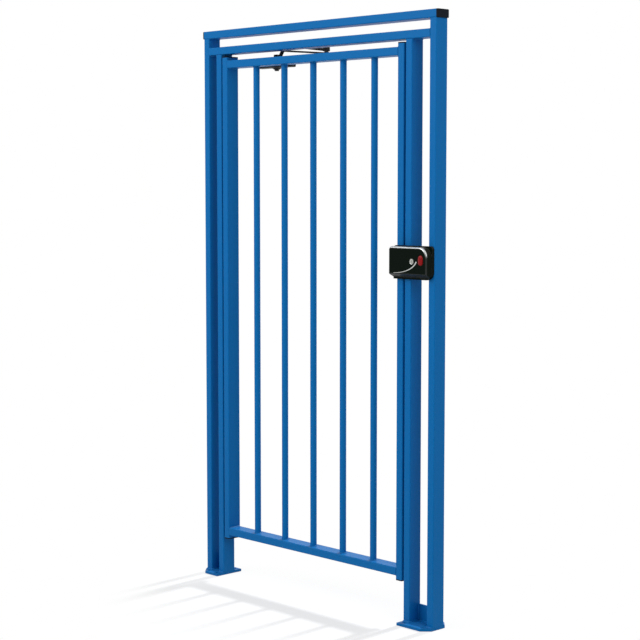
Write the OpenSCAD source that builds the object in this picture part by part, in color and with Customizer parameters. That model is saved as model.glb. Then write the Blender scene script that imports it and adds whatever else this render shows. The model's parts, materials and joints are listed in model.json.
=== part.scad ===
// Full-height pedestrian security gate: a welded tube frame with paired posts,
// a hinged bar leaf, a hydraulic closer with a folding arm on the back and a
// surface-mounted latch lock on the front.
// Origin: centre of the underside of the hinge-side base plate.
// +X runs from the hinge side to the latch side, +Y is the side the leaf opens
// to, +Z is up.

/* [Frame] */
// Height from the floor to the top of the top rail
overall_h = 2200; // [2100:10:2400]
// Clear opening between the two inner posts
clear_w = 1010; // [900:10:1200]
// Gap between the two posts on the hinge side
hinge_post_gap = 45; // [40:1:60]
// Gap between the two posts on the latch side
latch_post_gap = 85; // [80:1:100]
// Gap between the top rail and the header rail
header_gap = 36; // [30:1:60]

/* [Tube] */
// Width of the tube's narrow face
tube_w = 30; // [28:1:34]
// Depth of the tube, through the gate
tube_d = 60; // [60:1:70]
// Wall of the tube
tube_wall = 3; // [2:0.5:4]
// Outer corner radius of the tube
tube_r = 4; // [3.5:0.5:5]

/* [Base plates] */
// Thickness of a base plate
plate_t = 10; // [8:1:15]
// How far a base plate reaches in front of and behind the posts
plate_reach = 35; // [30:1:50]
// Cut across a base plate's two outer corners
plate_cut = 30; // [20:1:34]
// Diameter of an anchor hole
anchor_d = 12; // [10:1:14]
// Height of the web that joins a pair of posts above the plate
web_h = 60; // [40:5:100]
// Thickness of that web
web_t = 6; // [4:1:10]

/* [Leaf] */
// Gap between the hinge-side post and the leaf
hinge_gap = 6; // [6:0.5:7]
// Gap between the leaf and the latch-side post
latch_gap = 9; // [8:0.5:12]
// Height of the leaf's lower edge above the floor
leaf_z0 = 170; // [120:5:250]
// Gap between the header rail and the leaf's top rail
leaf_top_gap = 25; // [24:1:30]
// How far a stile and its plug run past the rails
stile_over = 16; // [12:1:17]
// Outer diameter of an infill bar
bar_d = 25; // [20:1:30]
// Wall of an infill bar
bar_wall = 2; // [1.5:0.5:3]
// Pitch of the infill bars
bar_pitch = 162; // [140:1:180]

/* [Plugs] */
// Thickness of a plug's outer flange on the stiles
plug_t = 4; // [3:0.5:5]
// Thickness of a plug's outer flange on the top rail
rail_plug_t = 5; // [4:0.5:6]
// How deep a plug reaches into its tube
plug_depth = 12; // [8:1:20]

/* [Hinges] */
// Distance of the outer hinges from the leaf's ends
hinge_inset = 180; // [120:5:250]
// Outer radius of a hinge barrel
barrel_r = 9; // [8:0.5:9]
// Height of one half of a hinge
barrel_h = 50; // [40:1:60]
// Radius of the hinge pin
pin_r = 5; // [4:0.5:6]

/* [Closer] */
// Distance of the closer's spindle from the leaf's hinge axis, along the leaf
spindle_x = 234; // [200:1:260]
// Length of the closer's body with its end caps
closer_l = 209; // [200:1:212]
// Depth of the closer's body
closer_d = 45; // [42:1:48]
// Height of the closer's body
closer_h = 38; // [36:1:40]

/* [Lock] */
// Height of the lock's case at its back
lock_h = 120; // [116:1:126]
// How far the case stands out from the posts
lock_d = 40; // [38:1:46]
// Thickness of the case's base, behind its raised cover
lock_base_t = 12; // [10:1:14]
// Radius of the cover's upper corner over the outer post
lock_end_r = 38; // [30:1:44]
// Height of the case's lower edge above the floor
lock_z0 = 1256; // [1000:1:1300]

/* [Hidden] */
$fn = 64;
clear = 0.3;           // face clearance between two bodies
run = 0.05;            // radial clearance of a pin in its bore
cut = 1;               // how far a cutting shape runs past what it cuts
bar_count = 5;         // infill bars, a node each
hinge_count = 3;       // hinges, two nodes each

// Places along X
plate_hinge_w = hinge_post_gap + 2 * tube_w;
plate_latch_w = latch_post_gap + 2 * tube_w;
frame_x0 = -plate_hinge_w / 2;
inner_hinge_x = frame_x0 + tube_w + hinge_post_gap;
open_x0 = inner_hinge_x + tube_w;
open_x1 = open_x0 + clear_w;
outer_latch_x = open_x1 + tube_w + latch_post_gap;
frame_x1 = outer_latch_x + tube_w;
leaf_x0 = open_x0 + hinge_gap;
leaf_x1 = open_x1 - latch_gap;
rail_x0 = leaf_x0 + tube_w;
rail_x1 = leaf_x1 - tube_w;
bar_x0 = (rail_x0 + rail_x1 - (bar_count - 1) * bar_pitch) / 2;

// Places along Y
front_y = -tube_d / 2;
back_y = tube_d / 2;

// Places along Z
top_rail_z = overall_h - tube_w;
header_z = top_rail_z - header_gap - tube_w;
leaf_z1 = header_z - leaf_top_gap;
leaf_top_rail_z = leaf_z1 - tube_w;
stile_z0 = leaf_z0 - stile_over + plug_t;
stile_z1 = leaf_z1 + stile_over - plug_t;

// Hinge axis
axis_x = open_x0 + hinge_gap / 2;
axis_y = back_y + barrel_r + 0.5;
hinge_pitch = (leaf_z1 - leaf_z0 - 2 * hinge_inset) / (hinge_count - 1);
hinge_leaf_w = 20;
hinge_leaf_t = 5;

// Anchor holes: how far in from a plate's side, and from its cut side
anchor_in = 20;
anchor_cut_in = 35;

// Closer: spindle, elbow and shoe pivots in plan, and the heights of the arms
spindle = [axis_x + spindle_x, back_y + 25];
elbow = spindle + [103, 170];
shoe = spindle + [40, -1];
closer_z = leaf_top_rail_z - 5;
closer_top = closer_z + closer_h;
closer_cap = 10;
closer_tail = 101;
spindle_r = 7;
hub_z = closer_top + 4.5;
hub_h = 8;
arm_t = 6;
arm_w = 16;
arm_tip_z = header_z - 3;
arm_root_z = arm_tip_z + 6;
forearm_z = header_z + 13.5;
shoe_z = forearm_z + 12;
shoe_pin_r = 5;

// Lock: its base, the raised cover and what shows in its face
lock_x0 = rail_x1 - 4.5;
lock_x1 = frame_x1 - 2;
lock_y1 = front_y - lock_d;
lock_base_y = front_y - lock_base_t;
lock_wing_y = front_y - 8;
lock_edge_r = 8;
lock_near_r = 12;
lock_low_r = 28;
lock_rise = lock_d - lock_base_t;
cover_x1 = lock_x1 - 1.5;
cover_z1 = lock_z0 + lock_h - 3;
cover_face_z0 = lock_z0 + 19;
cover_foot_z = lock_z0 + 6;
cover_lip_r = 5;
key_x = lock_x0 + 115;
key_z = lock_z0 + 66;
key_r = 9;
key_seat = 8;
key_dish = 3;
button_x = lock_x0 + 156.5;
button_z = key_z + 4;
button_w = 24;
button_h = 38;
button_proud = 4;
button_seat = 8;
button_edge = 2;
stem_r = 4;
stem_l = 14;
keeper_x = leaf_x1 - tube_w / 2;
keeper_z = lock_z0 + 60;
keeper_t = 3;
staple_w = 8;
staple_reach = 22;

// Colours
paint = [0.09, 0.40, 0.68];
black = [0.07, 0.07, 0.08];
silver = [0.80, 0.81, 0.82];

// ---------------------------------------------------------------- profiles

// Rectangle with round corners, centred on the origin
module round_rect(w, d, r) {
    square([w - 2 * r, d], center = true);
    square([w, d - 2 * r], center = true);
    for (sx = [-1, 1], sy = [-1, 1])
        translate([sx * (w / 2 - r), sy * (d / 2 - r)])
            circle(r = r);
}

// Points of an arc, for an outline
function arc(cx, cy, r, a0, a1, n = 6) =
    [for (i = [0 : n]) let (a = a0 + (a1 - a0) * i / n) [cx + r * cos(a), cy + r * sin(a)]];

// Upright length of rectangular tube, its near corner at [x, z]
module upright_tube(x, z, length) {
    translate([x + tube_w / 2, 0, z])
        linear_extrude(length)
            difference() {
                round_rect(tube_w, tube_d, tube_r);
                round_rect(tube_w - 2 * tube_wall, tube_d - 2 * tube_wall, tube_r - tube_wall);
            }
}

// Level length of rectangular tube along X, its near corner at [x, z]
module level_tube(x, z, length) {
    translate([x, 0, z + tube_w])
        rotate([0, 90, 0])
            upright_tube(0, 0, length);
}

// Plastic plug for a tube end that faces up: a flange and a shank below it
module tube_plug(flange_t) {
    linear_extrude(flange_t)
        round_rect(tube_w, tube_d, tube_r);
    inner_w = tube_w - 2 * tube_wall - 0.4;
    inner_d = tube_d - 2 * tube_wall - 0.4;
    translate([0, 0, -plug_depth])
        linear_extrude(plug_depth + 1)
            round_rect(inner_w, inner_d, tube_r - tube_wall);
}

// ------------------------------------------------------------------- frame

module top_rail() {
    color(paint) level_tube(frame_x0, top_rail_z, frame_x1 - frame_x0);
}

module top_rail_plug_hinge_side() {
    color(black)
        translate([frame_x0, 0, top_rail_z + tube_w / 2])
            rotate([0, -90, 0])
                tube_plug(rail_plug_t);
}

module top_rail_plug_latch_side() {
    color(black)
        translate([frame_x1, 0, top_rail_z + tube_w / 2])
            rotate([0, 90, 0])
                tube_plug(rail_plug_t);
}

module header_rail() {
    x0 = frame_x0 + tube_w;
    color(paint) level_tube(x0, header_z, outer_latch_x - x0);
}

module outer_post(x) {
    color(paint) upright_tube(x, plate_t, top_rail_z - plate_t);
}

module inner_post(x) {
    color(paint) upright_tube(x, plate_t, header_z - plate_t);
}

// Base plate centred on the origin, with four anchor holes. The corners on
// the side away from the opening (side: -1 or 1) are cut.
module base_plate(width, side) {
    half_w = width / 2;
    half_d = tube_d / 2 + plate_reach;
    hole_y = tube_d / 2 + plate_reach / 2;
    color(paint)
        difference() {
            linear_extrude(plate_t)
                polygon([
                    [side * half_w, half_d - plate_cut],
                    [side * (half_w - plate_cut), half_d],
                    [-side * half_w, half_d],
                    [-side * half_w, -half_d],
                    [side * (half_w - plate_cut), -half_d],
                    [side * half_w, plate_cut - half_d]
                ]);
            for (x = [anchor_in - half_w, half_w - anchor_cut_in], y = [-hole_y, hole_y])
                translate([side * x, y, -cut])
                    cylinder(d = anchor_d, h = plate_t + 2 * cut);
        }
}

module base_plate_hinge_side() {
    base_plate(plate_hinge_w, -1);
}

module base_plate_latch_side() {
    translate([frame_x1 - plate_latch_w / 2, 0, 0])
        base_plate(plate_latch_w, 1);
}

// Web between a pair of posts, in front of their round back corners
module foot_web(x, gap) {
    color(paint)
        translate([x, back_y - tube_r - web_t, plate_t])
            cube([gap, web_t, web_h]);
}

// ------------------------------------------------------------------ hinges

function hinge_z(i) = leaf_z0 + hinge_inset + i * hinge_pitch;

// Half with the pin, welded to the post
module hinge_pin_half(i) {
    z = hinge_z(i);
    color(paint) {
        translate([axis_x, axis_y, z - barrel_h])
            cylinder(r = barrel_r, h = barrel_h);
        translate([axis_x, axis_y, z - barrel_h])
            cylinder(r = pin_r, h = 2 * barrel_h - 3);
        translate([open_x0 - hinge_leaf_w, back_y, z - barrel_h])
            cube([hinge_leaf_w, hinge_leaf_t, barrel_h]);
    }
}

// Half with the socket, welded to the stile
module hinge_socket_half(i) {
    z = hinge_z(i) + clear;
    color(paint)
        difference() {
            union() {
                translate([axis_x, axis_y, z])
                    cylinder(r = barrel_r, h = barrel_h);
                translate([leaf_x0, back_y, z])
                    cube([hinge_leaf_w, hinge_leaf_t, barrel_h]);
            }
            translate([axis_x, axis_y, z - cut])
                cylinder(r = pin_r + run, h = barrel_h - cut);
        }
}

// -------------------------------------------------------------------- leaf

module stile(x) {
    color(paint) upright_tube(x, stile_z0, stile_z1 - stile_z0);
}

module leaf_rail(z) {
    color(paint) level_tube(rail_x0, z, rail_x1 - rail_x0);
}

module bar(i) {
    length = leaf_top_rail_z - leaf_z0 - tube_w;
    color(paint)
        translate([bar_x0 + i * bar_pitch, 0, leaf_z0 + tube_w])
            difference() {
                cylinder(d = bar_d, h = length);
                translate([0, 0, -cut])
                    cylinder(d = bar_d - 2 * bar_wall, h = length + 2 * cut);
            }
}

module stile_plug_top(x) {
    color(black)
        translate([x + tube_w / 2, 0, stile_z1])
            tube_plug(plug_t);
}

module stile_plug_bottom(x) {
    color(black)
        translate([x + tube_w / 2, 0, stile_z0])
            mirror([0, 0, 1])
                tube_plug(plug_t);
}

// ------------------------------------------------------------------ closer

// Cast body on the back of the leaf's top rail: a long block with a tapered cap
// at each end, and a boss round the spindle that narrows to a stub below
module closer_body() {
    boss_r = 20;
    boss_rise = 3;
    boss_drop = 7;
    cap_tip_r = 8;
    mid_x = spindle[0] - closer_tail - closer_cap + closer_l / 2;
    y = back_y + closer_d / 2;
    z = closer_z + closer_h / 2;
    color(black)
        difference() {
            union() {
                translate([spindle[0] - closer_tail, y, z])
                    rotate([0, 90, 0])
                        linear_extrude(closer_l - 2 * closer_cap)
                            round_rect(closer_h, closer_d, 5);
                for (s = [-1, 1])
                    translate([mid_x + s * (closer_l / 2 - closer_cap), y, z])
                        rotate([0, s * 90, 0])
                            cylinder(r1 = closer_h / 2 - 0.5, r2 = cap_tip_r, h = closer_cap);
                translate([spindle[0], spindle[1], closer_z])
                    cylinder(r = boss_r, h = closer_h + boss_rise);
                translate([spindle[0], spindle[1], closer_z - boss_drop])
                    cylinder(r1 = 11, r2 = boss_r, h = boss_drop);
                translate([spindle[0], spindle[1], closer_z - boss_drop - 5])
                    cylinder(r = 8.5, h = 6);
            }
            translate([spindle[0], spindle[1], closer_top - 20])
                cylinder(r = spindle_r + run, h = 30);
        }
}

// Turns and moves a child drawn along +X from the origin to lie from a to b
module lay_between(a, b) {
    translate([a[0], a[1], 0])
        rotate([0, 0, atan2(b[1] - a[1], b[0] - a[0])])
            children();
}

// Spindle, hub and cranked arm up to the elbow
module closer_main_arm() {
    reach = norm(elbow - spindle);
    foot_z = hub_z + 1;
    color(black) {
        translate([spindle[0], spindle[1], closer_top - 18])
            cylinder(r = spindle_r, h = 30);
        translate([spindle[0], spindle[1], hub_z])
            cylinder(r = 12, h = hub_h);
        lay_between(spindle, elbow)
            rotate([90, 0, 0])
                translate([0, 0, -arm_w / 2])
                    linear_extrude(arm_w)
                        polygon([
                            [0, foot_z], [20, foot_z],
                            [29, arm_root_z], [reach, arm_tip_z],
                            [reach, arm_tip_z + arm_t], [18, arm_root_z + arm_t],
                            [9, foot_z + arm_t], [0, foot_z + arm_t]
                        ]);
        translate([elbow[0], elbow[1], arm_tip_z])
            cylinder(r = 12, h = arm_t);
        translate([elbow[0], elbow[1], arm_tip_z])
            cylinder(r = 9, h = arm_t + 3.5);
    }
}

// Knuckle over the elbow, sleeve and threaded rod with its lock nut, which
// climb towards the frame, and the end eye
module closer_forearm() {
    reach = norm(shoe - elbow);
    rise = shoe_z - forearm_z;
    color(black)
        difference() {
            union() {
                translate([elbow[0], elbow[1], forearm_z - 5.5])
                    cylinder(r = 14, h = 15);
                lay_between(elbow, shoe)
                    translate([0, 0, forearm_z])
                        rotate([0, 90 - atan2(rise, reach), 0]) {
                            cylinder(r = 6, h = 100);
                            translate([0, 0, 100])
                                cylinder(r = 7.5, h = 6, $fn = 6);
                            cylinder(r = 4, h = norm([reach, rise]) - 8);
                        }
                translate([shoe[0], shoe[1], shoe_z - 6])
                    cylinder(r = 11, h = 10.5);
            }
            translate([shoe[0], shoe[1], shoe_z - 7])
                cylinder(r = shoe_pin_r + run, h = 13);
        }
}

// Bracket on the back of the header rail that carries the forearm's pivot
module closer_shoe() {
    tongue_z = shoe_z - 12.5;
    color(black) {
        translate([shoe[0] - 28, back_y, header_z + tube_r])
            cube([56, 5, tube_w - 2 * tube_r]);
        translate([shoe[0] - 14, back_y, tongue_z])
            cube([28, shoe[1] - back_y, 6]);
        translate([shoe[0], shoe[1], tongue_z])
            cylinder(r = 14, h = 6);
        translate([shoe[0], shoe[1], tongue_z])
            cylinder(r = shoe_pin_r, h = 18.5);
        translate([shoe[0], shoe[1], shoe_z + 5])
            cylinder(r = 8, h = 3);
    }
}

// -------------------------------------------------------------------- lock

// Outline of a button or its hole: a slot with round ends, standing up
module stadium(w, h) {
    square([w, h - w], center = true);
    for (s = [-1, 1])
        translate([0, s * (h - w) / 2])
            circle(d = w);
}

// Turns a child drawn in the XY plane to stand in the front face, facing -Y
module on_front(x, y, z) {
    translate([x, y, z])
        rotate([90, 0, 0])
            children();
}

// What a rounding takes off a square corner that points to +X and +Y
module rounding(r) {
    difference() {
        square(r + cut);
        circle(r = r);
    }
}

// Outline of the case's base as seen from the front
module lock_outline() {
    difference() {
        translate([lock_x0, lock_z0])
            square([lock_x1 - lock_x0, lock_h]);
        translate([lock_x1 - lock_near_r, lock_z0 + lock_h - lock_near_r])
            rounding(lock_near_r);
        translate([lock_x1 - lock_low_r, lock_z0 + lock_low_r])
            mirror([0, 1])
                rounding(lock_low_r);
        translate([lock_x0 + lock_near_r, lock_z0 + lock_h - lock_near_r])
            mirror([1, 0])
                rounding(lock_near_r);
    }
}

// Plan of the cover, in X and Y: both ends have a round front edge
module cover_plan() {
    r = lock_edge_r;
    difference() {
        translate([lock_x0, lock_y1])
            square([cover_x1 - lock_x0, lock_rise + cut]);
        translate([lock_x0 + r, lock_y1 + r])
            rotate(180)
                rounding(r);
        translate([cover_x1 - r, lock_y1 + r])
            mirror([0, 1])
                rounding(r);
    }
}

// Side view of the cover, in Y and Z: a round upper edge over a sloping underside
module cover_side() {
    r = lock_edge_r;
    difference() {
        polygon(concat(
            [[lock_base_y + cut, cover_foot_z], [lock_base_y + cut, cover_z1], [lock_y1, cover_z1]],
            arc(lock_y1 + cover_lip_r, cover_face_z0 + cover_lip_r, cover_lip_r, 180, 240)
        ));
        translate([lock_y1 + r, cover_z1 - r])
            mirror([1, 0])
                rounding(r);
    }
}

// Upper corner of the cover, on its centre: a quarter of a disc of radius r
// whose front edge is as round as the cover's
module cover_corner(r) {
    intersection() {
        rotate_extrude()
            difference() {
                translate([0, -cut])
                    square([r, lock_rise + cut]);
                translate([r - lock_edge_r, lock_rise - lock_edge_r])
                    rounding(lock_edge_r);
            }
        translate([0, 0, -cut])
            cube([r + cut, r + cut, lock_rise + 2 * cut]);
    }
}

// Raised cover: the side view and the plan give its straight edges, and two
// corners with other radii close its upper edge
module lock_cover() {
    end_x = cover_x1 - lock_end_r;
    end_z = cover_z1 - lock_end_r;
    near_x = lock_x0 + lock_near_r;
    near_z = cover_z1 - lock_near_r;
    difference() {
        intersection() {
            translate([lock_x0 - cut, 0, 0])
                rotate([90, 0, 90])
                    linear_extrude(lock_x1 - lock_x0 + 2 * cut)
                        cover_side();
            translate([0, 0, lock_z0])
                linear_extrude(lock_h)
                    cover_plan();
        }
        translate([end_x, lock_y1 - cut, end_z])
            cube([lock_end_r + cut, lock_rise + 3 * cut, lock_end_r + cut]);
        translate([lock_x0 - cut, lock_y1 - cut, near_z])
            cube([lock_near_r + cut, lock_rise + 3 * cut, lock_near_r + cut]);
        on_front(lock_x1 - lock_low_r, lock_base_y + 2 * cut, lock_z0 + lock_low_r)
            linear_extrude(lock_rise + 3 * cut)
                mirror([0, 1])
                    rounding(lock_low_r);
    }
    on_front(end_x, lock_base_y, end_z)
        cover_corner(lock_end_r);
    on_front(near_x, lock_base_y, near_z)
        mirror([1, 0, 0])
            cover_corner(lock_near_r);
}

// Case of the lock: base and cover, cut back where it hangs in front of the
// leaf, with a pocket for the keeper's staple and the holes in its face
module lock_case() {
    pocket_w = 21;
    pocket_h = 52;
    color(black)
        difference() {
            union() {
                on_front(0, front_y, 0)
                    linear_extrude(lock_base_t)
                        lock_outline();
                lock_cover();
            }
            translate([lock_x0 - cut, lock_wing_y, lock_z0 - cut])
                cube([open_x1 - 2 - lock_x0 + cut, 20, lock_h + 2 * cut]);
            translate([keeper_x - pocket_w / 2, lock_wing_y - 20, keeper_z - pocket_h / 2])
                cube([pocket_w, 20 + cut, pocket_h]);
            on_front(key_x, lock_y1 + key_seat, key_z)
                cylinder(r = key_r + 0.1, h = key_seat + cut);
            on_front(key_x, lock_y1 + key_dish - cut, key_z)
                cylinder(r1 = key_r + 0.1, r2 = key_r + 0.1 + key_dish, h = key_dish);
            on_front(button_x, lock_y1 + button_seat + 10, button_z)
                linear_extrude(30)
                    stadium(button_w + 1, button_h + 1);
            on_front(button_x, lock_y1 + button_seat + stem_l + 5, button_z)
                cylinder(r = stem_r + run, h = 20);
        }
}

// Key cylinder: a barrel with the keyed plug standing just proud of it
module key_cylinder() {
    color(silver)
        on_front(key_x, lock_y1 + key_seat, key_z)
            difference() {
                union() {
                    cylinder(r = key_r, h = key_seat + 1);
                    cylinder(r = key_r - 2, h = key_seat + 2);
                }
                translate([-1.2, -4.5, key_seat - 1])
                    cube([2.4, 9, 10]);
            }
}

// Curved silver strip on the case: a quarter of an ellipse that narrows
module lock_trim() {
    a = 112;
    b = 52;
    steps = 24;
    sweep = 79;
    function at(i, side) =
        let (t = sweep * i / steps, half = 0.5 + 2.2 * i / steps)
        [(a + side * half) * sin(t), b - (b + side * half) * cos(t)];
    color(silver)
        on_front(lock_x0 + 27.5, lock_y1, lock_z0 + 23.5)
            linear_extrude(1)
                polygon(concat(
                    [for (i = [0 : steps]) at(i, 1)],
                    [for (i = [steps : -1 : 0]) at(i, -1)]
                ));
}

// Release button with a bevelled edge, on a stem that slides in the case
module release_button() {
    straight = button_seat + button_proud - button_edge;
    color([0.72, 0.05, 0.07])
        on_front(button_x, lock_y1 + button_seat, button_z) {
            linear_extrude(straight)
                stadium(button_w, button_h);
            for (s = [-1, 1])
                translate([0, s * (button_h - button_w) / 2, straight])
                    cylinder(d1 = button_w, d2 = button_w - 2 * button_edge, h = button_edge);
            translate([0, (button_h - button_w) / 2, straight])
                rotate([90, 0, 0])
                    linear_extrude(button_h - button_w)
                        polygon([
                            [-button_w / 2, 0], [button_w / 2, 0],
                            [button_w / 2 - button_edge, button_edge],
                            [button_edge - button_w / 2, button_edge]
                        ]);
            translate([0, 0, -stem_l])
                cylinder(r = stem_r, h = stem_l + cut);
        }
}

// Plate on the stile's front face with the staple that the lock holds
module lock_keeper() {
    color(silver) {
        on_front(keeper_x, front_y, keeper_z)
            linear_extrude(keeper_t)
                round_rect(22, 80, 6);
        translate([keeper_x - staple_w / 2, front_y - staple_reach + 10, keeper_z])
            rotate([90, 0, 90])
                linear_extrude(staple_w)
                    difference() {
                        round_rect(20, 36, 6);
                        round_rect(10, 22, 3);
                    }
    }
}

// ------------------------------------------------------------------- nodes

top_rail();
top_rail_plug_hinge_side();
top_rail_plug_latch_side();
header_rail();
outer_post(frame_x0);  // outer_post_hinge_side
inner_post(inner_hinge_x);  // inner_post_hinge_side
inner_post(open_x1);  // inner_post_latch_side
outer_post(outer_latch_x);  // outer_post_latch_side
base_plate_hinge_side();
base_plate_latch_side();
foot_web(frame_x0 + tube_w, hinge_post_gap);  // foot_web_hinge_side
foot_web(open_x1 + tube_w, latch_post_gap);  // foot_web_latch_side
hinge_pin_half(0);  // hinge_pin_half_1
hinge_pin_half(1);  // hinge_pin_half_2
hinge_pin_half(2);  // hinge_pin_half_3
closer_shoe();
lock_case();
key_cylinder();
lock_trim();
release_button();
stile(leaf_x0);  // hinge_stile
stile(rail_x1);  // latch_stile
leaf_rail(leaf_top_rail_z);  // leaf_top_rail
leaf_rail(leaf_z0);  // leaf_bottom_rail
bar(0);  // bar_1
bar(1);  // bar_2
bar(2);  // bar_3
bar(3);  // bar_4
bar(4);  // bar_5
stile_plug_top(leaf_x0);  // stile_plug_hinge_top
stile_plug_bottom(leaf_x0);  // stile_plug_hinge_bottom
stile_plug_top(rail_x1);  // stile_plug_latch_top
stile_plug_bottom(rail_x1);  // stile_plug_latch_bottom
hinge_socket_half(0);  // hinge_socket_half_1
hinge_socket_half(1);  // hinge_socket_half_2
hinge_socket_half(2);  // hinge_socket_half_3
lock_keeper();
closer_body();
closer_main_arm();
closer_forearm();
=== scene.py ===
"""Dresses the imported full-height security gate and sets it in a plain studio.

Every size below is in metres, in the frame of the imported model: +X runs from the
hinge side to the latch side, +Y is the side the leaf opens to and +Z is up.
"""

import json
import logging
import math
from collections.abc import Iterable, Sequence
from dataclasses import dataclass, field
from enum import Enum
from functools import partial

import bmesh
import bpy
from mathutils import Matrix, Vector


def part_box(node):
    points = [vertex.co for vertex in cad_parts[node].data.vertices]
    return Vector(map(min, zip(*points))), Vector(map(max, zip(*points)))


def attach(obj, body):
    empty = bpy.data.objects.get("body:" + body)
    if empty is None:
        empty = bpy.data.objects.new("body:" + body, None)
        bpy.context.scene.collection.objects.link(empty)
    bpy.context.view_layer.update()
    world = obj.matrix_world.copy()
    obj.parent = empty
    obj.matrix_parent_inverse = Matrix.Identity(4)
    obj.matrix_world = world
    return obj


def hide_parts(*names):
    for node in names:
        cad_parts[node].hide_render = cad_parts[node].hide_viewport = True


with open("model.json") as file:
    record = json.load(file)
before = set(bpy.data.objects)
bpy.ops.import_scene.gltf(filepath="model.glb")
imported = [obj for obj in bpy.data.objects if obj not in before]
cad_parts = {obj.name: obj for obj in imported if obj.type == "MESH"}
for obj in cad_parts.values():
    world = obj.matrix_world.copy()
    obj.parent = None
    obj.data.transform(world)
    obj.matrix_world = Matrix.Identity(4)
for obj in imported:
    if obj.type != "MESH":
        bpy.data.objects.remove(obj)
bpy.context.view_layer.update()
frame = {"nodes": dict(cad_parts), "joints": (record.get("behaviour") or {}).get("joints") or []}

LOG = logging.getLogger("gate")
MM = 0.001
UP = Vector((0, 0, 1))
DOWN = Vector((0, 0, -1))
TUBE_CORNER = 4 * MM
GATE_MIDDLE = (0.57, 0.0, 1.1)
Colour = tuple[float, float, float]
Point = tuple[float, float, float]


class Body(Enum):
    """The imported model's bodies that pieces ride on."""

    FRAME = "frame"
    LEAF = "leaf"
    CLOSER_ARM = "closer_arm"
    LOCK_BUTTON = "lock_button"


class Slot(Enum):
    """The record's material slots."""

    PAINT = "blue_powder_coat"
    PLUG = "black_plug_plastic"
    CLOSER = "black_closer_paint"
    LOCK = "black_lock_housing"
    CYLINDER = "bright_cylinder"
    TRIM = "bright_trim"
    ZINC = "zinc_plate"
    BUTTON = "red_button"


# --- Node graphs ---


@dataclass
class Graph:
    """A node tree that is filled one node at a time.

    Attributes:
        tree: The material's or the group's node tree.
    """

    tree: bpy.types.NodeTree

    def add(self, kind: str, **settings: object) -> bpy.types.Node:
        """Adds a node.

        Args:
            kind: The node's type name, such as ShaderNodeMath.
            **settings: Properties of the node, or socket values keyed by
                in_ and the socket's index.

        Returns:
            The new node.
        """
        node = self.tree.nodes.new(kind)
        for key, value in settings.items():
            if key.startswith("in_"):
                node.inputs[int(key[3:])].default_value = value
            else:
                setattr(node, key, value)
        return node

    def join(self, source: bpy.types.NodeSocket, target: bpy.types.NodeSocket) -> None:
        """Links one socket to another."""
        self.tree.links.new(source, target)

    def feed(self, target: bpy.types.NodeSocket, value: object) -> None:
        """Links a socket to another, or gives it a value.

        Args:
            target: The socket that is fed.
            value: The other socket, a colour or a number.
        """
        if isinstance(value, bpy.types.NodeSocket):
            self.join(value, target)
        elif isinstance(value, tuple):
            target.default_value = (*value, 1.0)
        else:
            target.default_value = value

    def maths(self, operation: str, *values: object) -> bpy.types.NodeSocket:
        """Adds a Math node fed by sockets or numbers.

        Args:
            operation: The Math node's operation.
            *values: Up to three sockets or numbers.

        Returns:
            The node's output socket.
        """
        node = self.add("ShaderNodeMath", operation=operation)
        for place, value in enumerate(values):
            self.feed(node.inputs[place], value)
        return node.outputs[0]

    def spot(self) -> bpy.types.NodeSocket:
        """Adds the place of the shaded point, in the model's frame."""
        return self.add("ShaderNodeTexCoord").outputs["Object"]

    def noise(
        self, where: bpy.types.NodeSocket, scale: object, detail: float, roughness: float = 0.5,
    ) -> bpy.types.NodeSocket:
        """Adds a noise texture.

        Args:
            where: Socket of the place it is read at.
            scale: Socket or number, its waves in each metre.
            detail: How many finer octaves it has.
            roughness: How strong those octaves are.

        Returns:
            The noise's socket, between 0 and 1.
        """
        node = self.add("ShaderNodeTexNoise", in_3=detail, in_4=roughness)
        self.join(where, node.inputs["Vector"])
        self.feed(node.inputs["Scale"], scale)
        return node.outputs[0]

    def ramp(
        self, value: bpy.types.NodeSocket, start: float, end: float,
        low: float = 0.0, high: float = 1.0, smooth: bool = False,
    ) -> bpy.types.NodeSocket:
        """Turns one range of a value into another, and holds it at both ends.

        Args:
            value: The value's socket.
            start: Value that gives low.
            end: Value that gives high.
            low: Result at the start.
            high: Result at the end.
            smooth: True to ease in and out.

        Returns:
            The result's socket.
        """
        kind = "SMOOTHSTEP" if smooth else "LINEAR"
        node = self.add(
            "ShaderNodeMapRange", interpolation_type=kind, in_1=start, in_2=end, in_3=low, in_4=high)
        self.join(value, node.inputs[0])
        return node.outputs[0]

    def mix_colour(self, share: object, first: object, second: object) -> bpy.types.NodeSocket:
        """Mixes two colours.

        Args:
            share: Socket or number, 0 for the first colour and 1 for the second.
            first: Socket or colour.
            second: Socket or colour.

        Returns:
            The mixed colour's socket.
        """
        node = self.add("ShaderNodeMix", data_type="RGBA")
        # Factor, A and B of the node's colour variant.
        for place, value in ((0, share), (6, first), (7, second)):
            self.feed(node.inputs[place], value)
        return node.outputs[2]


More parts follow.
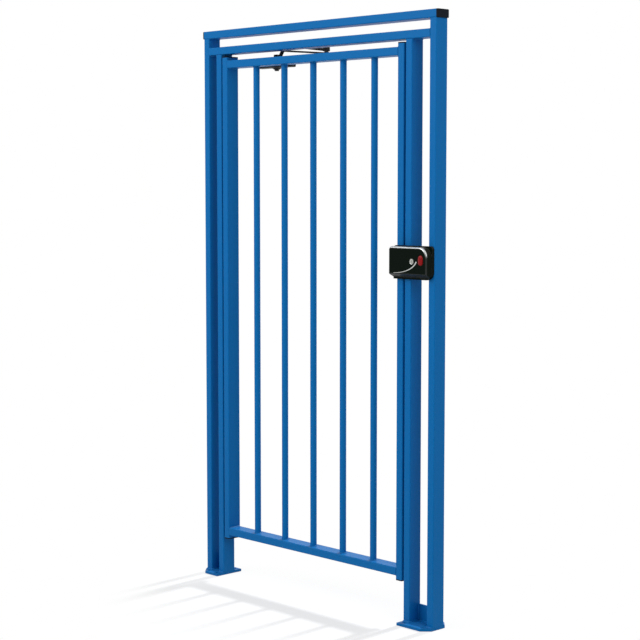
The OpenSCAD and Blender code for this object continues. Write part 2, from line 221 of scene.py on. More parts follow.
@dataclass
class EffectGroup:
    """A shader node group with named inputs and outputs.

    Attributes:
        name: The group's name.
        inputs: Name, socket type and default of each input.
        outputs: Name and socket type of each output.
        graph: The group's own graph.
        source: The node that its inputs come from.
        sink: The node that its outputs go to.
    """

    name: str
    inputs: Sequence[tuple[str, str, object]]
    outputs: Sequence[tuple[str, str]]
    graph: Graph = field(init=False)
    source: bpy.types.Node = field(init=False)
    sink: bpy.types.Node = field(init=False)

    def __post_init__(self) -> None:
        """Makes the empty group and its sockets."""
        tree = bpy.data.node_groups.new(self.name, "ShaderNodeTree")
        for name, kind, default in self.inputs:
            socket = tree.interface.new_socket(name=name, in_out="INPUT", socket_type=kind)
            socket.default_value = default
        for name, kind in self.outputs:
            tree.interface.new_socket(name=name, in_out="OUTPUT", socket_type=kind)
        self.graph = Graph(tree)
        self.source = self.graph.add("NodeGroupInput")
        self.sink = self.graph.add("NodeGroupOutput")

    def place(self, graph: Graph, **values: object) -> bpy.types.Node:
        """Places the group in a material.

        Args:
            graph: The material's graph.
            **values: Input values or sockets by input name.

        Returns:
            The group node.
        """
        node = graph.add("ShaderNodeGroup", node_tree=self.graph.tree)
        for key, value in values.items():
            graph.feed(node.inputs[key], value)
        return node


class Effects:
    """The surface effects that several finishes share, each built once.

    Attributes:
        EDGE: How far the true and the eased normal agree where rubbing starts and where it is full.
        BREAKS: Noise between which the rubbing sets in.
        ROUNDING: Largest part of the normal on a flat face and on a full rounding.
        UPWARD: Part of the normal along Z between which the painted highlight sets in.
        UNDERSIDE: Share of the painted highlight that is left where the normal points down.
        FORWARD: Part of the normal along Y, either way, between which it sets in.
        SPLASH: Heights between which splash from the ground sets in, in metres.
        SPLASH_SHARE: How thick that splash lies, against dust on a level top.
        SETTLED: Noise between which the dust thickens.
    """

    EDGE = (0.985, 0.80)
    BREAKS = (0.42, 0.66)
    ROUNDING = (0.985, 0.90)
    UPWARD = (0.0, 0.5)
    UNDERSIDE = 0.04
    FORWARD = (0.1, 0.45)
    SPLASH = (0.25, 0.0)
    SPLASH_SHARE = 0.35
    SETTLED = (0.35, 0.75)

    def __init__(self) -> None:
        """Builds every group."""
        self.drift = self._drift()
        self.peel = self._peel()
        self.rub = self._rub()
        self.highlight_crest = self._highlight_crest()
        self.dust = self._dust()

    def _drift(self) -> EffectGroup:
        """Builds slow changes of a coat's colour and gloss.

        Returns:
            A group that puts out a colour and a number around 0.
        """
        group = EffectGroup(
            "coat_drift",
            (("Colour", "NodeSocketColor", (0.5, 0.5, 0.5, 1)),
             ("Amount", "NodeSocketFloat", 0.1),
             ("Scale", "NodeSocketFloat", 4.0)),
            (("Colour", "NodeSocketColor"), ("Gloss", "NodeSocketFloat")),
        )
        g = group.graph
        noise = g.noise(g.spot(), group.source.outputs["Scale"], 4.0, 0.55)
        centred = g.maths("SUBTRACT", noise, 0.5)
        swing = g.maths("MULTIPLY", centred, group.source.outputs["Amount"])
        shade = g.add("ShaderNodeHueSaturation")
        g.join(g.maths("ADD", swing, 1.0), shade.inputs["Value"])
        g.join(group.source.outputs["Colour"], shade.inputs["Color"])
        g.join(shade.outputs[0], group.sink.inputs["Colour"])
        g.join(swing, group.sink.inputs["Gloss"])
        return group

    def _peel(self) -> EffectGroup:
        """Builds the fine waviness of a sprayed or moulded skin.

        Returns:
            A group that puts out a height.
        """
        group = EffectGroup(
            "skin_peel",
            (("Scale", "NodeSocketFloat", 400.0), ("Grain", "NodeSocketFloat", 0.2)),
            (("Height", "NodeSocketFloat"),),
        )
        g = group.graph
        where = g.spot()
        scale = group.source.outputs["Scale"]
        wave = g.noise(where, scale, 1.0)
        grain = g.noise(where, g.maths("MULTIPLY", scale, 5.0), 2.0)
        fine = g.maths("MULTIPLY", grain, group.source.outputs["Grain"])
        g.join(g.maths("ADD", wave, fine), group.sink.inputs["Height"])
        return group

    def _rub(self) -> EffectGroup:
        """Builds the mask of an edge that hands and tools rub.

        Returns:
            A group that puts out a mask, 1 on a rubbed edge, and the normal of
            the slightly eased edge.
        """
        group = EffectGroup(
            "edge_rub",
            (("Amount", "NodeSocketFloat", 0.3),
             ("Radius", "NodeSocketFloat", 0.0015),
             ("Scale", "NodeSocketFloat", 60.0)),
            (("Mask", "NodeSocketFloat"), ("Normal", "NodeSocketVector")),
        )
        g = group.graph
        eased = g.add("ShaderNodeBevel", samples=4)
        g.join(group.source.outputs["Radius"], eased.inputs["Radius"])
        agree = g.add("ShaderNodeVectorMath", operation="DOT_PRODUCT")
        g.join(eased.outputs[0], agree.inputs[0])
        g.join(g.add("ShaderNodeNewGeometry").outputs["Normal"], agree.inputs[1])
        edge = g.ramp(agree.outputs["Value"], *self.EDGE)
        broken = g.ramp(g.noise(g.spot(), group.source.outputs["Scale"], 3.0), *self.BREAKS)
        wear_and_highlight = g.maths("MULTIPLY", edge, broken)
        g.join(g.maths("MULTIPLY", wear_and_highlight, group.source.outputs["Amount"]), group.sink.inputs["Mask"])
        g.join(eased.outputs[0], group.sink.inputs["Normal"])
        return group

    def _highlight_crest(self) -> EffectGroup:
        """Builds the mask of a painted highlight on a front edge's rounding, shown as pale bare metal.

        Returns:
            A group that puts out a mask, 1 where such a rounding turns upwards.
        """
        group = EffectGroup(
            "painted_highlight_crest", (("Amount", "NodeSocketFloat", 1.0),), (("Mask", "NodeSocketFloat"),))
        g = group.graph
        facing = g.add("ShaderNodeSeparateXYZ")
        g.join(g.add("ShaderNodeNewGeometry").outputs["Normal"], facing.inputs[0])
        sides = [g.maths("ABSOLUTE", facing.outputs[axis]) for axis in "XYZ"]
        squarest = g.maths("MAXIMUM", g.maths("MAXIMUM", sides[0], sides[1]), sides[2])
        rounded = g.ramp(squarest, *self.ROUNDING)
        upward = g.ramp(facing.outputs["Z"], *self.UPWARD, low=self.UNDERSIDE)
        forward = g.ramp(sides[1], *self.FORWARD)
        # Painted highlight: strongest on roundings that face up and forward.
        painted_highlight = g.maths("MULTIPLY", g.maths("MULTIPLY", rounded, upward), forward)
        g.join(g.maths("MULTIPLY", painted_highlight, group.source.outputs["Amount"]), group.sink.inputs["Mask"])
        return group

    def _dust(self) -> EffectGroup:
        """Builds pale dust on what faces up and splash near the ground.

        Returns:
            A group that puts out the dusty colour and the dust's mask.
        """
        group = EffectGroup(
            "settled_dust",
            (("Colour", "NodeSocketColor", (0.5, 0.5, 0.5, 1)),
             ("Dust", "NodeSocketColor", (0.5, 0.47, 0.42, 1)),
             ("Amount", "NodeSocketFloat", 0.1)),
            (("Colour", "NodeSocketColor"), ("Mask", "NodeSocketFloat")),
        )
        g = group.graph
        facing = g.add("ShaderNodeSeparateXYZ")
        g.join(g.add("ShaderNodeNewGeometry").outputs["Normal"], facing.inputs[0])
        up = g.maths("MAXIMUM", facing.outputs["Z"], 0.0)
        where = g.spot()
        height = g.add("ShaderNodeSeparateXYZ")
        g.join(where, height.inputs[0])
        low = g.ramp(height.outputs["Z"], *self.SPLASH)
        patch = g.ramp(g.noise(where, 38.0, 5.0, 0.6), *self.SETTLED)
        lies = g.maths("MULTIPLY_ADD", low, self.SPLASH_SHARE, up)
        cover = g.maths("MULTIPLY", lies, patch)
        mask = g.maths("MULTIPLY", cover, group.source.outputs["Amount"])
        mixed = g.mix_colour(mask, group.source.outputs["Colour"], group.source.outputs["Dust"])
        g.join(mixed, group.sink.inputs["Colour"])
        g.join(mask, group.sink.inputs["Mask"])
        return group


# --- Finishes ---


def new_material(name: str) -> tuple[bpy.types.Material, Graph, bpy.types.Node]:
    """Makes an empty material.

    Args:
        name: The material's name.

    Returns:
        The material, its graph and its Principled shader.
    """
    made = bpy.data.materials.new(name)
    made.use_nodes = True
    return made, Graph(made.node_tree), made.node_tree.nodes["Principled BSDF"]


@dataclass(frozen=True)
class CoatFinish:
    """A painted or moulded skin with drift, rubbed edges, dust, a fine peel and, where it has a crest,
    a painted highlight.

    Attributes:
        name: The material's name.
        colour: Linear base colour.
        rubbed_and_highlight: Linear colour of a rubbed edge, and of the painted highlight on the crest.
        roughness: Roughness of the clean skin.
        drift: How far colour and gloss drift over the surface.
        rub: How strongly the edges are rubbed.
        dust: How much dust lies on it.
        peel_scale: Waves of the skin in each metre.
        peel_depth: Height of those waves.
        grain: Share of fine grain in the skin.
        specular: Specular level.
        highlight_crest: How strongly a painted highlight, pale and metallic, lies on its upward
            roundings.
        drift_scale: Patches of the drift in each metre.
        drift_gloss: How far the drift changes the roughness.
        dust_gloss: How far the dust adds to the roughness.
    """

    name: str
    colour: Colour
    rubbed_and_highlight: Colour
    roughness: float
    drift: float
    rub: float
    dust: float
    peel_scale: float
    peel_depth: float
    grain: float
    specular: float
    highlight_crest: float = 0.0
    drift_scale: float = 3.5
    drift_gloss: float = 0.8
    dust_gloss: float = 0.5

    def material(self, effects: Effects) -> bpy.types.Material:
        """Makes the material.

        Args:
            effects: The shared effect groups.

        Returns:
            The new material.
        """
        made, g, shader = new_material(self.name)
        made.diffuse_color = (*self.colour, 1.0)
        shader.inputs["Specular IOR Level"].default_value = self.specular
        drift = effects.drift.place(g, Colour=self.colour, Amount=self.drift, Scale=self.drift_scale)
        rub = effects.rub.place(g, Amount=self.rub)
        wear_and_highlight = g.mix_colour(rub.outputs["Mask"], drift.outputs["Colour"], self.rubbed_and_highlight)
        # Painted highlight: the crest mask turns upward roundings pale and metallic.
        if self.highlight_crest:
            highlight_crest = effects.highlight_crest.place(g, Amount=self.highlight_crest)
            wear_and_highlight = g.mix_colour(highlight_crest.outputs["Mask"], wear_and_highlight, self.rubbed_and_highlight)
            g.join(highlight_crest.outputs["Mask"], shader.inputs["Metallic"])
        dust = effects.dust.place(g, Colour=wear_and_highlight, Amount=self.dust)
        g.join(dust.outputs["Colour"], shader.inputs["Base Color"])
        gloss = g.maths("MULTIPLY_ADD", drift.outputs["Gloss"], self.drift_gloss, self.roughness)
        dulled = g.maths("MULTIPLY_ADD", dust.outputs["Mask"], self.dust_gloss, gloss)
        g.join(g.maths("ADD", dulled, rub.outputs["Mask"]), shader.inputs["Roughness"])
        peel = effects.peel.place(g, Scale=self.peel_scale, Grain=self.grain)
        bump = g.add("ShaderNodeBump", in_0=1.0, in_1=self.peel_depth)
        g.join(peel.outputs["Height"], bump.inputs["Height"])
        g.join(rub.outputs["Normal"], bump.inputs["Normal"])
        g.join(bump.outputs["Normal"], shader.inputs["Normal"])
        return made


@dataclass(frozen=True)
class MetalFinish:
    """Bright metal with fine lines along one direction.

    Attributes:
        name: The material's name.
        colour: Linear base colour.
        roughness: Middle roughness.
        spread: How far the roughness swings.
        stretch: Scale of the lines along X, Y and Z.
        line_depth: Depth of the lines.
        drift: How far the colour drifts over the surface.
        drift_scale: Patches of that drift in each metre.
        dust: How much dust lies on it.
    """

    name: str
    colour: Colour
    roughness: float
    spread: float
    stretch: Point = (60.0, 60.0, 2500.0)
    line_depth: float = 0.000004
    drift: float = 0.15
    drift_scale: float = 90.0
    dust: float = 0.06

    def material(self, effects: Effects) -> bpy.types.Material:
        """Makes the material.

        Args:
            effects: The shared effect groups.

        Returns:
            The new material.
        """
        made, g, shader = new_material(self.name)
        made.diffuse_color = (*self.colour, 1.0)
        shader.inputs["Metallic"].default_value = 1.0
        mapping = g.add("ShaderNodeMapping")
        mapping.inputs["Scale"].default_value = self.stretch
        g.join(g.spot(), mapping.inputs["Vector"])
        lines = g.noise(mapping.outputs[0], 1.0, 3.0)
        centred = g.maths("SUBTRACT", lines, 0.5)
        rough = g.maths("MULTIPLY_ADD", centred, self.spread, self.roughness)
        g.join(rough, shader.inputs["Roughness"])
        drift = effects.drift.place(g, Colour=self.colour, Amount=self.drift, Scale=self.drift_scale)
        dust = effects.dust.place(g, Colour=drift.outputs["Colour"], Amount=self.dust)
        g.join(dust.outputs["Colour"], shader.inputs["Base Color"])
        bump = g.add("ShaderNodeBump", in_0=1.0, in_1=self.line_depth)
        g.join(lines, bump.inputs["Height"])
        g.join(bump.outputs["Normal"], shader.inputs["Normal"])
        return made


@dataclass(frozen=True)
class Backdrop:
    """White floor and background that keep the gate's faint shadow.

    Attributes:
        floor_colour: Linear colour of the floor.
        patchiness: Share of that colour that is left in its duller patches.
        lift: White added where the camera or a mirror sees the floor.
        centre: The middle of the floor's shaded part.
        near: Distance from the centre where the floor starts to turn plain white.
        far: Distance where it is plain white.
        side: A point on the line past which the shadow dies away.
        beyond: Level direction across that line, away from the gate.
        fade: Width of the strip in which it dies away.
        size: Half the floor's width.
    """

    floor_colour: Colour = (0.50, 0.50, 0.50)
    patchiness: float = 0.98
    lift: float = 0.46
    centre: Point = (0.62, -0.76, 0.0)
    near: float = 0.60
    far: float = 1.20
    side: Point = (0.0, -0.16, 0.0)
    beyond: Point = (-0.63, -0.78, 0.0)
    fade: float = 0.36
    size: float = 60.0

    def floor_material(self) -> bpy.types.Material:
        """Makes the floor's material.

        Returns:
            The new material.
        """
        made, g, shader = new_material("studio_floor")
        shader.inputs["Roughness"].default_value = 0.9
        shader.inputs["Specular IOR Level"].default_value = 0.0
        cloud = g.add("ShaderNodeTexNoise", in_2=1.5, in_3=3.0)
        duller = tuple(self.patchiness * part for part in self.floor_colour)
        g.join(g.mix_colour(cloud.outputs[0], duller, self.floor_colour), shader.inputs["Base Color"])
        seen = self.seen(g)
        glow = g.add("ShaderNodeEmission")
        g.join(g.maths("MULTIPLY", seen, self.lift), glow.inputs["Strength"])
        total = g.add("ShaderNodeAddShader")
        g.join(shader.outputs[0], total.inputs[0])
        g.join(glow.outputs[0], total.inputs[1])
        plain = g.add("ShaderNodeEmission")
        mixed = g.add("ShaderNodeMixShader")
        g.join(g.maths("MULTIPLY", self._plainness(g), seen), mixed.inputs[0])
        g.join(total.outputs[0], mixed.inputs[1])
        g.join(plain.outputs[0], mixed.inputs[2])
        g.join(mixed.outputs[0], made.node_tree.nodes["Material Output"].inputs["Surface"])
        return made

    def _plainness(self, g: Graph) -> bpy.types.NodeSocket:
        """Adds what turns the floor plain white away from the shaded part.

        Args:
            g: The floor's graph.

        Returns:
            A socket that is 1 where the floor is plain white.
        """
        where = g.add("ShaderNodeNewGeometry").outputs["Position"]
        away = g.add("ShaderNodeVectorMath", operation="DISTANCE", in_1=self.centre)
        g.join(where, away.inputs[0])
        ring = g.ramp(away.outputs["Value"], self.near, self.far, smooth=True)
        offset = g.add("ShaderNodeVectorMath", operation="SUBTRACT", in_1=self.side)
        g.join(where, offset.inputs[0])
        across = g.add("ShaderNodeVectorMath", operation="DOT_PRODUCT", in_1=self.beyond)
        g.join(offset.outputs["Vector"], across.inputs[0])
        strip = g.ramp(across.outputs["Value"], 0.0, self.fade, smooth=True)
        return g.maths("MAXIMUM", ring, strip)

    @staticmethod
    def seen(g: Graph) -> bpy.types.NodeSocket:
        """Adds what tells the camera's and mirrors' rays from those that carry light.

        Args:
            g: The material's or the world's graph.

        Returns:
            A socket that is 1 where the surface is looked at.
        """
        path = g.add("ShaderNodeLightPath")
        looked = g.maths("MAXIMUM", path.outputs["Is Camera Ray"], path.outputs["Is Glossy Ray"])
        return g.maths("MAXIMUM", looked, path.outputs["Is Transmission Ray"])


FINISHES: dict[Slot, CoatFinish | MetalFinish] = {
    Slot.PAINT: CoatFinish(
        "blue_powder_coat", (0.0015, 0.146, 0.432), (0.010, 0.190, 0.500),
        roughness=0.42, drift=0.04, rub=0.35, dust=0.04,
        peel_scale=420.0, peel_depth=0.00003, grain=0.15, specular=0.09,
    ),
    Slot.PLUG: CoatFinish(
        "black_plug_plastic", (0.006, 0.009, 0.014), (0.03, 0.03, 0.035),
        roughness=0.52, drift=0.25, rub=0.4, dust=0.05,
        peel_scale=1400.0, peel_depth=0.00006, grain=0.5, specular=0.06,
    ),
    Slot.CLOSER: CoatFinish(
        "black_closer_paint", (0.006, 0.006, 0.008), (0.03, 0.03, 0.035),
        roughness=0.42, drift=0.25, rub=0.4, dust=0.05,
        peel_scale=900.0, peel_depth=0.00008, grain=0.6, specular=0.15,
    ),
    # The lock's pale rubbed colour paints highlights: on its rubbed edges, partly as wear, and on its
    # upward roundings through the crest.
    Slot.LOCK: CoatFinish(
        "black_lock_housing", (0.0025, 0.006, 0.0032), (0.72, 0.74, 0.74),
        roughness=0.28, drift=0.04, rub=0.10, dust=0.1, highlight_crest=0.95,
        peel_scale=260.0, peel_depth=0.00001, grain=0.05, specular=0.03,
    ),
    Slot.BUTTON: CoatFinish(
        "red_button", (0.262, 0.0015, 0.003), (0.40, 0.03, 0.03),
        roughness=0.22, drift=0.10, rub=0.15, dust=0.03,
        peel_scale=600.0, peel_depth=0.00001, grain=0.1, specular=0.15,
    ),
    Slot.CYLINDER: MetalFinish("satin_nickel", (0.43, 0.44, 0.41), 0.30, 0.25),
    Slot.TRIM: MetalFinish("polished_trim", (0.52, 0.54, 0.52), 0.14, 0.10),
    Slot.ZINC: MetalFinish("zinc_plate", (0.55, 0.56, 0.57), 0.40, 0.30),
}


# --- Objects and meshes ---


def new_object(name: str, data: bpy.types.ID, way: Vector | None = None) -> bpy.types.Object:
    """Makes an object and links it to the scene.

    Args:
        name: The object's name.
        data: Its mesh, light or camera.
        way: Direction that its -Z axis turns to, where it isn't straight down.

    Returns:
        The new object.
    """
    made = bpy.data.objects.new(name, data)
    bpy.context.scene.collection.objects.link(made)
    if way is not None:
        made.rotation_mode = "QUATERNION"
        made.rotation_quaternion = way.to_track_quat("-Z", "Y")
    return made


@dataclass(frozen=True)
class Span:
    """The box of a CAD node at rest.

    Attributes:
        low: Its lowest corner.
        high: Its highest corner.
    """

    low: Vector
    high: Vector

    @classmethod
    def of(cls, node: str) -> "Span":
        """Reads a node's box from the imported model."""
        return cls(*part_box(node))

    @property
    def centre(self) -> Vector:
        """The box's middle."""
        return (self.low + self.high) / 2

    @property
    def size(self) -> Vector:
        """The box's size."""
        return self.high - self.low


class Workshop:
    """Coats the CAD nodes and turns bmeshes into pieces that ride on their bodies."""

    def __init__(self) -> None:
        """Makes the material of every slot."""
        effects = Effects()
        self.materials = {slot: finish.material(effects) for slot, finish in FINISHES.items()}

    def finish(
        self, name: str, mesh: bmesh.types.BMesh, body: Body, slot: Slot, sharp: float = 35.0,
    ) -> bpy.types.Object:
        """Makes a piece from a bmesh.

        Args:
            name: The piece's name.
            mesh: Its geometry, in the model's frame. It is freed here.
            body: The body it rides on.
            slot: The record's slot it takes its finish from.
            sharp: Angle in degrees past which an edge stays sharp.

        Returns:
            The new object.
        """
        bmesh.ops.remove_doubles(mesh, verts=mesh.verts, dist=1e-6)
        bmesh.ops.recalc_face_normals(mesh, faces=mesh.faces)
        data = bpy.data.meshes.new(name)
        mesh.to_mesh(data)
        mesh.free()
        data.shade_smooth()
        data.set_sharp_from_angle(angle=math.radians(sharp))
        data.materials.append(self.materials[slot])
        piece = new_object(name, data)
        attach(piece, body.value)
        LOG.info("piece %s: %d faces on %s", name, len(data.polygons), body.value)
        return piece

    def coat(self, nodes: Iterable[str], slot: Slot) -> None:
        """Gives CAD nodes their material.

        Args:
            nodes: The nodes' names.
            slot: The record's slot they take their finish from.
        """
        for name in nodes:
            node = frame["nodes"][name]
            node.data.materials.clear()
            node.data.materials.append(self.materials[slot])
            LOG.info("node %s: %s", name, slot.value)


def skin(
    mesh: bmesh.types.BMesh, rings: Sequence[Sequence[Vector]], closed: bool = False,
) -> None:
    """Joins round rings of points into one surface.

    Args:
        mesh: The bmesh that takes the faces.
        rings: The rings, each with as many points.
        closed: True if the last ring meets the first. The two are capped if not.
    """
    made = [[mesh.verts.new(point) for point in ring] for ring in rings]
    count = len(made[0])
    pairs = list(zip(made, made[1:]))
    if closed:
        pairs.append((made[-1], made[0]))
    for first, second in pairs:
        for i in range(count):
            j = (i + 1) % count
            mesh.faces.new((first[i], first[j], second[j], second[i]))
    if not closed:
        mesh.faces.new(list(reversed(made[0])))
        mesh.faces.new(made[-1])


def turned(
    mesh: bmesh.types.BMesh, profile: Sequence[tuple[object, float]], place: Matrix,
    segments: int = 24,
) -> None:
    """Adds a turned shape about the Z axis of a place.

    Args:
        mesh: The bmesh that takes the faces.
        profile: Radius and height of each ring. A radius may be a function of
            the angle, for a hexagon.
        place: Where the shape goes.
        segments: Points in each ring.
    """
    rings = []
    for radius, height in profile:
        ring = []
        for i in range(segments):
            a = math.tau * i / segments
            r = radius(a) if callable(radius) else radius
            ring.append(place @ Vector((r * math.cos(a), r * math.sin(a), height)))
        rings.append(ring)
    skin(mesh, rings)


def hexagon(across: float, angle: float) -> float:
    """Distance from a hexagon's centre to its side.

    Args:
        across: Distance across the flats.
        angle: Angle at which it is wanted.

    Returns:
        The distance.
    """
    sixth = math.tau / 6
    return across / 2 / math.cos(angle % sixth - sixth / 2)


class Facing(Enum):
    """Which way the outer end of a fastener points."""

    BACK = (0.0, 1.0, 0.0)
    UP = (0.0, 0.0, 1.0)
    LATCH = (1.0, 0.0, 0.0)

    def at(self, point: Vector) -> Matrix:
        """Place at a point whose Z axis points this way."""
        turn = Vector(self.value).to_track_quat("Z", "Y")
        return Matrix.Translation(point) @ turn.to_matrix().to_4x4()


@dataclass(frozen=True)
class SocketScrew:
    """A round-headed screw with a hexagon socket.

    Attributes:
        head_d: Diameter of the head.
        head_h: Height of the head.
        socket: Width of the socket across its flats.
        crown: The head's rounding, as shares of its radius and height.
        root: Its radius where it meets what it sits on, as a share.
        sunk: How far it goes into what it sits on.
        socket_floor: Height of the socket's floor, as a share of the head's.
    """

    head_d: float = 9 * MM
    head_h: float = 3 * MM
    socket: float = 3.5 * MM
    crown: tuple[tuple[float, float], ...] = ((1.0, 0.15), (0.97, 0.55), (0.86, 0.82), (0.66, 1.0))
    root: float = 0.98
    sunk: float = 0.4 * MM
    socket_floor: float = 0.35

    def build(self, mesh: bmesh.types.BMesh, place: Matrix) -> None:
        """Adds the screw's head, sitting on the place's origin.

        Args:
            mesh: The bmesh that takes the faces.
            place: Where the head goes, its outer end towards the place's Z.
        """
        r = self.head_d / 2
        h = self.head_h
        pit = partial(hexagon, self.socket)
        profile = [(r * self.root, -self.sunk)]
        profile += [(r * width, h * height) for width, height in self.crown]
        profile += [(pit, h), (pit, self.socket_floor * h)]
        turned(mesh, profile, place)


@dataclass(frozen=True)
class Bead:
    """A weld bead in the corner between two faces.

    Attributes:
        leg: Reach of the bead along each face.
        pitch: Distance between its ripples.
        ripple: Share by which a ripple swells it.
        slices: Rings in each ripple.
        sway: Share by which it swells more slowly.
        sway_pace: Radians of that slower swelling in each ripple.
        hollow: How far its face lies back between its two edges, as a share.
        face_points: Points across its face.
        sunk: How far its root lies inside the corner.
    """

    leg: float = 3.5 * MM
    pitch: float = 2.4 * MM
    ripple: float = 0.10
    slices: int = 3
    sway: float = 0.06
    sway_pace: float = 1.7
    hollow: float = 0.22
    face_points: int = 5
    sunk: float = 0.4 * MM

    def build(
        self, mesh: bmesh.types.BMesh, path: Sequence[tuple[Vector, Vector]], rise: Vector,
        closed: bool = False,
    ) -> None:
        """Adds the bead along a path.

        Args:
            mesh: The bmesh that takes the faces.
            path: Points in the corner, each with the direction along the one
                face, away from the corner.
            rise: Direction along the other face, away from the corner.
            closed: True if the path ends where it starts.
        """
        points = list(path) + ([path[0]] if closed else [])
        rings = []
        travelled = 0.0
        for (a, out_a), (b, out_b) in zip(points, points[1:]):
            length = (b - a).length
            steps = max(1, round(length / (self.pitch / self.slices)))
            for i in range(steps + (0 if closed or b is not points[-1][0] else 1)):
                t = i / steps
                along = (travelled + length * t) / self.pitch
                swell = 1 + self.ripple * (along % 1.0) + self.sway * math.sin(along * self.sway_pace)
                out = out_a.lerp(out_b, t).normalized()
                rings.append(self._ring(a.lerp(b, t), out, rise, swell))
            travelled += length
        skin(mesh, rings, closed=closed)

    def _ring(self, corner: Vector, out: Vector, rise: Vector, swell: float) -> list[Vector]:
        """Outline of the bead at one point.

        Args:
            corner: The point in the corner.
            out: Direction along the one face.
            rise: Direction along the other face.
            swell: Factor on the bead's reach.

        Returns:
            The outline's points.
        """
        ring = [corner - (out + rise) * self.sunk]
        for i in range(self.face_points):
            a = math.tau / 4 * i / (self.face_points - 1)
            bulge = self.leg * swell * (1 - self.hollow * math.sin(2 * a))
            ring.append(corner + out * bulge * math.cos(a) + rise * bulge * math.sin(a))
        return ring


def tube_outline(span: Span, corner: float, steps: int = 5) -> list[tuple[Vector, Vector]]:
    """Outline of an upright tube with the outward direction at each point.

    Args:
        span: The tube's box.
        corner: Its corner radius.
        steps: Points in each corner.

    Returns:
        Points at height 0 with their outward directions.
    """
    half_x = span.size.x / 2 - corner
    half_y = span.size.y / 2 - corner
    centre = Vector((span.centre.x, span.centre.y, 0.0))
    found = []
    for quarter, (sx, sy) in enumerate(((1, 1), (-1, 1), (-1, -1), (1, -1))):
        for i in range(steps):
            a = math.tau / 4 * (quarter + i / (steps - 1))
            out = Vector((math.cos(a), math.sin(a), 0.0))
            found.append((centre + Vector((sx * half_x, sy * half_y, 0.0)) + out * corner, out))
    return found


def straight(a: Vector, b: Vector, out: Vector) -> list[tuple[Vector, Vector]]:
    """A straight path for a bead."""
    return [(a, out), (b, out)]


def across(x: float, z: float, half: float, side: int) -> list[tuple[Vector, Vector]]:
    """A path along Y, half to each side of the tube's middle, for a bead that reaches to side."""
    return straight(Vector((x, -half, z)), Vector((x, half, z)), Vector((side, 0, 0)))


# --- Sub-assemblies ---


@dataclass
class SubAssembly:
    """Nodes that are dressed together.

    Attributes:
        shop: Coats the nodes and makes the pieces.
    """

    shop: Workshop

    def dress(self) -> None:
        """Coats the nodes and adds the pieces."""
        raise NotImplementedError


@dataclass
class PostFrame(SubAssembly):
    """The fixed frame: posts, rails, plates and webs, with their weld beads.

    Attributes:
        tube_corner: Corner radius of the tube.
        flush_turn: Part of the outward direction along X above which a post's
            outline counts as its flush side.
        web_bead_gap: How far a web's beads stay clear of its lower corners.
        posts: The post nodes with the plate each stands on.
    """

    tube_corner: float = TUBE_CORNER
    flush_turn: float = 0.8
    web_bead_gap: float = 4 * MM
    posts: tuple[tuple[str, str], ...] = (
        ("outer_post_hinge_side", "base_plate_hinge_side"),
        ("inner_post_hinge_side", "base_plate_hinge_side"),
        ("inner_post_latch_side", "base_plate_latch_side"),
        ("outer_post_latch_side", "base_plate_latch_side"),
    )

    def dress(self) -> None:
        """Paints the nodes and adds the beads."""
        nodes = ["top_rail", "header_rail", "foot_web_hinge_side", "foot_web_latch_side"]
        nodes += [post for post, _ in self.posts]
        nodes += ["base_plate_hinge_side", "base_plate_latch_side"]
        self.shop.coat(nodes, Slot.PAINT)
        for post, plate in self.posts:
            self._foot_bead(post, plate)
        self._head_beads()
        self._web_beads("foot_web_hinge_side")
        self._web_beads("foot_web_latch_side")

    def _foot_bead(self, post: str, plate: str) -> None:
        """Adds the bead round a post's foot, except on the side flush with its plate.

        Args:
            post: The post's node.
            plate: The plate's node.
        """
        stand = Span.of(post)
        base = Span.of(plate)
        level = Vector((0.0, 0.0, base.high.z))
        path = [(p + level, out) for p, out in tube_outline(stand, self.tube_corner)]
        side = 1 if abs(stand.high.x - base.high.x) < MM else -1
        flush = [out.x * side > self.flush_turn for _, out in path]
        start = next(i for i in range(len(path)) if flush[i - 1] and not flush[i])
        order = [*range(start, len(path)), *range(start)]
        mesh = bmesh.new()
        Bead().build(mesh, [path[i] for i in order if not flush[i]], UP)
        self.shop.finish("bead_" + post, mesh, Body.FRAME, Slot.PAINT)

    def _head_beads(self) -> None:
        """Adds the beads where posts meet the top rail and the header rail."""
        mesh = bmesh.new()
        top = Span.of("top_rail")
        header = Span.of("header_rail")
        half = top.size.y / 2 - self.tube_corner
        for post, side in (("outer_post_hinge_side", 1), ("outer_post_latch_side", -1)):
            stand = Span.of(post)
            x = stand.high.x if side > 0 else stand.low.x
            for z, rise in ((top.low.z, DOWN), (header.high.z, UP), (header.low.z, DOWN)):
                Bead().build(mesh, across(x, z, half, side), rise)
        for post in ("inner_post_hinge_side", "inner_post_latch_side"):
            stand = Span.of(post)
            for x, side in ((stand.low.x, -1), (stand.high.x, 1)):
                Bead().build(mesh, across(x, header.low.z, half, side), DOWN)
        self.shop.finish("bead_frame_head", mesh, Body.FRAME, Slot.PAINT)

    def _web_beads(self, web: str) -> None:
        """Adds the beads along a web's ends and foot, on its front side.

        Args:
            web: The web's node.
        """
        span = Span.of(web)
        y = span.low.y
        gap = self.web_bead_gap
        front = Vector((0, -1, 0))
        mesh = bmesh.new()
        for x, side in ((span.low.x, 1), (span.high.x, -1)):
            a = Vector((x, y, span.low.z + gap))
            b = Vector((x, y, span.high.z))
            Bead().build(mesh, straight(a, b, Vector((side, 0, 0))), front)
        a = Vector((span.low.x + gap, y, span.low.z))
        b = Vector((span.high.x - gap, y, span.low.z))
        Bead().build(mesh, straight(a, b, UP), front)
        self.shop.finish("bead_" + web, mesh, Body.FRAME, Slot.PAINT)


